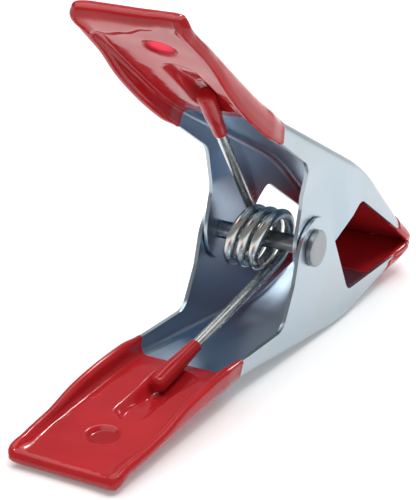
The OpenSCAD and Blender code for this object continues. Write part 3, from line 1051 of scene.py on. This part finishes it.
class ClampFinishSettings(bpy.types.PropertyGroup):
    """Colours of the clamp's finishes"""

    sheet_colour: bpy.props.FloatVectorProperty(
        name="Plated sheet", description="Colour of the zinc plated jaws", subtype="COLOR", size=3,
        min=0, max=1, default=(0.44, 0.495, 0.525))
    rivet_colour: bpy.props.FloatVectorProperty(
        name="Rivet", description="Colour of the rivet", subtype="COLOR", size=3, min=0, max=1,
        default=(0.29, 0.31, 0.325))
    wire_colour: bpy.props.FloatVectorProperty(
        name="Spring wire", description="Colour of the spring wire", subtype="COLOR", size=3, min=0, max=1,
        default=(0.68, 0.70, 0.67))
    vinyl_colour: bpy.props.FloatVectorProperty(
        name="Dipped vinyl", description="Colour of grips, tips and sleeves", subtype="COLOR", size=3,
        min=0, max=1, default=(0.51, 0.018, 0.023))


class ClampSizeSettings(bpy.types.PropertyGroup):
    """Sizes that can change without the frame"""

    ear_set_in: bpy.props.FloatProperty(
        name="Ear set-in", description="How far the upper ears are drawn inward",
        default=1.4 * MM, min=1.2 * MM, max=1.6 * MM, unit="LENGTH")
    sleeve_diameter: bpy.props.FloatProperty(
        name="Sleeve diameter", description="Outside diameter of a leg's sleeve",
        default=4.85 * MM, min=4.4 * MM, max=5.2 * MM, unit="LENGTH")
    sleeve_length: bpy.props.FloatProperty(
        name="Sleeve length", description="Length of a leg's sleeve",
        default=19 * MM, min=12 * MM, max=24 * MM, unit="LENGTH")
    wave: bpy.props.FloatProperty(
        name="Dip unevenness", description="How far the dipped coat wanders from an even skin",
        default=0.05 * MM, min=0.0, max=0.1 * MM, unit="LENGTH")


class ClampStageSettings(bpy.types.PropertyGroup):
    """Floor and light"""

    floor_colour: bpy.props.FloatVectorProperty(
        name="Floor", description="Colour of the floor", subtype="COLOR", size=3, min=0, max=1,
        default=(0.88, 0.88, 0.88))
    floor_lift: bpy.props.FloatProperty(
        name="Floor lift", description="Light added to the floor where it is seen", default=0.2, min=0, max=1)
    room: bpy.props.FloatProperty(
        name="Room light", description="Strength of the even light of the room", default=0.28, min=0, max=2)
    key: bpy.props.FloatProperty(
        name="Key light", description="Power of the large soft light, in watts", default=19.0, min=0, max=60)


MATERIALS = {}


# ---------------------------------------------------------------- operators


class CLAMP_OT_finishes(bpy.types.Operator):
    """Make the plated, drawn and dipped finishes"""

    bl_idname = "clamp.finishes"
    bl_label = "Finishes"

    def execute(self, context):
        s = context.scene.clamp_finish
        # The inside copy of the plate is tinted bluer: painted reflection of cool surroundings on the
        # channel's inner faces, on the same plating.
        painted_reflection_tint = (1.0, 1.1, 1.24)
        inside = tuple(c * k for c, k in zip(s.sheet_colour, painted_reflection_tint))
        MATERIALS["sheet"] = (
            plated_sheet(tuple(s.sheet_colour), "Zinc plated sheet"),
            plated_sheet(inside, "Zinc plated sheet inside painted reflection"),
        )
        MATERIALS["rivet"] = rivet_metal(tuple(s.rivet_colour))
        MATERIALS["wire"] = drawn_wire(tuple(s.wire_colour))
        red = tuple(s.vinyl_colour)
        MATERIALS["vinyl"] = vinyl(red, "Dipped vinyl")
        for key, lower, clear in (("lower_grip", True, 0.25), ("upper_grip", False, 0.9)):
            x, y = HANDLES[lower].hole
            p, _, up = FORM.line(np.array([FORM.flare_a - x]))
            inner, outer = p[0], p[0] + up[0]
            spots = set_down([[inner[0], y, inner[1]], [outer[0], y, outer[1]]], lower)
            axis = (spots[1] - spots[0]) / np.linalg.norm(spots[1] - spots[0])
            name = "Dipped vinyl " + key.replace("_", " ")
            MATERIALS[key] = vinyl(red, name, (tuple(spots[0]), tuple(axis)), clear)
        return {"FINISHED"}


class CLAMP_OT_jaws(bpy.types.Operator):
    """Press the two steel jaws"""

    bl_idname = "clamp.jaws"
    bl_label = "Steel jaws"

    def execute(self, context):
        set_in = context.scene.clamp_sizes.ear_set_in / MM
        jaw_steel("lower_jaw_sheet", "lower", True, 0.0, "lower_jaw", MATERIALS["sheet"])
        jaw_steel("upper_jaw_sheet", "upper", False, set_in, "upper_jaw", MATERIALS["sheet"])
        return {"FINISHED"}


class CLAMP_OT_rivet(bpy.types.Operator):
    """Set the pivot rivet"""

    bl_idname = "clamp.rivet"
    bl_label = "Pivot rivet"

    def execute(self, context):
        profile = rivet_profile()
        whole = [(r, -h) for r, h in profile[:0:-1]] + profile[1:]
        points, faces = lathe(whole, (0, 0, 0), (0, 1, 0), 96)
        new_piece("pivot_rivet_turned", set_down(points, False), faces, MATERIALS["rivet"], "lower",
                  "pivot_rivet", smooth_angle=50)
        return {"FINISHED"}


class CLAMP_OT_spring(bpy.types.Operator):
    """Wind the torsion spring: a coil that twists between the jaws and two legs"""

    bl_idname = "clamp.spring"
    bl_label = "Torsion spring"

    def execute(self, context):
        line, low, high = spring_line()
        parts = (
            ("spring_lower_leg", line[: low + 1], "lower", True, False),
            ("spring_coil", line[low : high + 1], None, False, False),
            ("spring_upper_leg", line[high:], "upper", False, True),
        )
        for name, run, body, start, end in parts:
            points, faces = tube(run, WIRE_RADIUS, 24, start, end)
            piece = new_piece(name, set_down(points, False), faces, MATERIALS["wire"], body,
                              "torsion_spring", smooth_angle=60)
            if body is None:
                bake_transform(piece)
        return {"FINISHED"}


class CLAMP_OT_grips(bpy.types.Operator):
    """Dip the two handles"""

    bl_idname = "clamp.grips"
    bl_label = "Handle grips"

    def execute(self, context):
        wave = context.scene.clamp_sizes.wave / MM
        shares = ring_shares(132, 0.962)
        for name, body, lower, node, key, seed in (
            ("lower_grip_dip", "lower", True, "lower_handle_grip", "lower_grip", 11),
            ("upper_grip_dip", "upper", False, "upper_handle_grip", "upper_grip", 23),
        ):
            coat = Coat(GRIP_START, grip_edge(lower), shares, (28, 8, 9), seed, wave, HANDLES[lower].coated,
                        grip_trim, nose=0.55)
            points, faces = coat.build()
            new_piece(name, set_down(points, lower), faces, MATERIALS[key], body,
                      node, smooth_angle=75)
        return {"FINISHED"}


class CLAMP_OT_tips(bpy.types.Operator):
    """Dip the two jaw tips"""

    bl_idname = "clamp.tips"
    bl_label = "Jaw tips"

    def execute(self, context):
        wave = context.scene.clamp_sizes.wave / MM
        shares = ring_shares(40, 0.93)
        for name, body, lower, node, seed in (
            ("lower_tip_dip", "lower", True, "lower_jaw_tip", 37),
            ("upper_tip_dip", "upper", False, "upper_jaw_tip", 53),
        ):
            coat = Coat(TIP_START, tip_edge(lower), shares, (18, 8, 8), seed, wave * 0.6)
            points, faces = coat.build()
            press_shut(points, low=0.012, end=75.4)
            new_piece(name, set_down(points, lower), faces, MATERIALS["vinyl"], body,
                      node, smooth_angle=75)
        return {"FINISHED"}


class CLAMP_OT_sleeves(bpy.types.Operator):
    """Push the sleeves onto the spring's legs"""

    bl_idname = "clamp.sleeves"
    bl_label = "Leg sleeves"

    def execute(self, context):
        s = context.scene.clamp_sizes
        radius, length = s.sleeve_diameter / MM / 2, s.sleeve_length / MM
        for name, body, side in (("lower_sleeve_tube", "lower", -1), ("upper_sleeve_tube", "upper", 1)):
            top, tip = leg_ends(side)
            way = (tip - top) / np.linalg.norm(tip - top)
            profile = sleeve_profile(radius, length, side)
            points, faces = lathe(profile, tip + way * (SLEEVE_OVERHANG - length), way, 48)
            new_piece(name, set_down(points, False), faces, MATERIALS["vinyl"], body,
                      name.replace("_sleeve_tube", "_leg_sleeve"), smooth_angle=60)
        return {"FINISHED"}


class CLAMP_OT_stage(bpy.types.Operator):
    """Lay the floor and set up the soft lights and the camera"""

    bl_idname = "clamp.stage"
    bl_label = "Stage"

    def execute(self, context):
        s = context.scene.clamp_stage
        scene = context.scene
        mesh = bpy.data.meshes.new("floor")
        half = 2.5
        corners = [(-half, -half, 0), (half, -half, 0), (half, half, 0), (-half, half, 0)]
        mesh.from_pydata(corners, [], [(0, 1, 2, 3)])
        mesh.materials.append(seamless_floor(tuple(s.floor_colour), s.floor_lift))
        floor = bpy.data.objects.new("floor", mesh)
        floor.location.z = -0.03 * MM
        scene.collection.objects.link(floor)
        world = bpy.data.worlds.new("Room")
        scene.world = world
        world.use_nodes = True
        back = next(n for n in world.node_tree.nodes if n.type == "BACKGROUND")
        back.inputs["Color"].default_value = (0.97, 0.985, 1.0, 1)
        back.inputs["Strength"].default_value = s.room
        aim_at = Vector((0, 0, 0.04))
        for name, place, power, width, height, tint in (
            ("key", (0.05, 0.1, 1.5), s.key * 1.55, 2.3, 2.3, (1, 1, 1)),
            ("rim", (1.35, -0.3, 0.75), s.key * 0.22, 0.25, 0.3, (0.97, 0.99, 1)),
            ("spark", (-0.3, -0.45, 1.2), s.key * 0.12, 0.12, 0.12, (1, 1, 1)),
            ("glint", (0.95, 0.45, 1.1), s.key * 0.14, 0.14, 0.14, (1, 1, 1)),
        ):
            lamp = bpy.data.lights.new(name, "AREA")
            lamp.shape = "RECTANGLE"
            lamp.size = width
            lamp.size_y = height
            lamp.energy = power
            lamp.color = tint
            holder = bpy.data.objects.new(name, lamp)
            holder.location = place
            holder.rotation_euler = (aim_at - Vector(place)).to_track_quat("-Z", "Y").to_euler()
            scene.collection.objects.link(holder)
        self.aim(scene)
        scene.view_settings.view_transform = "Standard"
        return {"FINISHED"}

    def aim(self, scene):
        """Camera by its angles, distance and slide about a point near the pivot, in the clamp's pitch."""
        azimuth, elevation, roll = np.radians([-62.59, 6.37, 8.58])
        about = np.array([-1.5, 0, 0])
        distance, slide, lift = 461.1, -14.4, -3.45
        focal_pixels, frame_pixels, sensor = 1677, 500, 36
        level = np.cos(elevation)
        back = np.array([np.sin(azimuth) * level, -np.cos(azimuth) * level, np.sin(elevation)])
        right = np.array([np.cos(azimuth), np.sin(azimuth), 0])
        up = np.cross(back, right)
        right, up = np.cos(roll) * right + np.sin(roll) * up, np.cos(roll) * up - np.sin(roll) * right
        spot = back * distance + right * slide + up * lift + about
        c, n = np.cos(REST_PITCH), np.sin(REST_PITCH)
        turn = np.array([[c, 0, n], [0, 1, 0], [-n, 0, c]])
        axes = turn @ np.column_stack([right, up, back])
        place = (turn @ spot + PIVOT) * MM
        camera = bpy.data.objects.new("camera", bpy.data.cameras.new("camera"))
        camera.data.lens = focal_pixels / frame_pixels * sensor
        camera.data.sensor_width = sensor
        camera.data.clip_start = 0.01
        camera.data.clip_end = 20
        matrix = Matrix(axes.tolist()).to_4x4()
        matrix.translation = place.tolist()
        camera.matrix_world = matrix
        scene.collection.objects.link(camera)
        scene.camera = camera


class CLAMP_PT_panel(bpy.types.Panel):
    """Sizes, finishes and steps of the spring clamp"""

    bl_idname = "CLAMP_PT_panel"
    bl_label = "Spring Clamp"
    bl_space_type = "VIEW_3D"
    bl_region_type = "UI"
    bl_category = "Spring Clamp"

    def draw(self, context):
        for group in (context.scene.clamp_sizes, context.scene.clamp_finish, context.scene.clamp_stage):
            box = self.layout.box()
            for key in group.__annotations__:
                box.prop(group, key)
        for step in STEPS:
            self.layout.operator(step.bl_idname)


STEPS = (
    CLAMP_OT_finishes,
    CLAMP_OT_jaws,
    CLAMP_OT_rivet,
    CLAMP_OT_spring,
    CLAMP_OT_grips,
    CLAMP_OT_tips,
    CLAMP_OT_sleeves,
    CLAMP_OT_stage,
)
GROUPS = (
    (ClampSizeSettings, "clamp_sizes"),
    (ClampFinishSettings, "clamp_finish"),
    (ClampStageSettings, "clamp_stage"),
)


def register():
    for group, name in GROUPS:
        bpy.utils.register_class(group)
        setattr(bpy.types.Scene, name, bpy.props.PointerProperty(type=group))
    for step in STEPS:
        bpy.utils.register_class(step)
    bpy.utils.register_class(CLAMP_PT_panel)


def unregister():
    bpy.utils.unregister_class(CLAMP_PT_panel)
    for step in reversed(STEPS):
        bpy.utils.unregister_class(step)
    for group, name in reversed(GROUPS):
        delattr(bpy.types.Scene, name)
        bpy.utils.unregister_class(group)


def main():
    register()
    for step in STEPS:
        group, name = step.bl_idname.split(".")
        getattr(getattr(bpy.ops, group), name)()


if __name__ == "__main__":
    main()
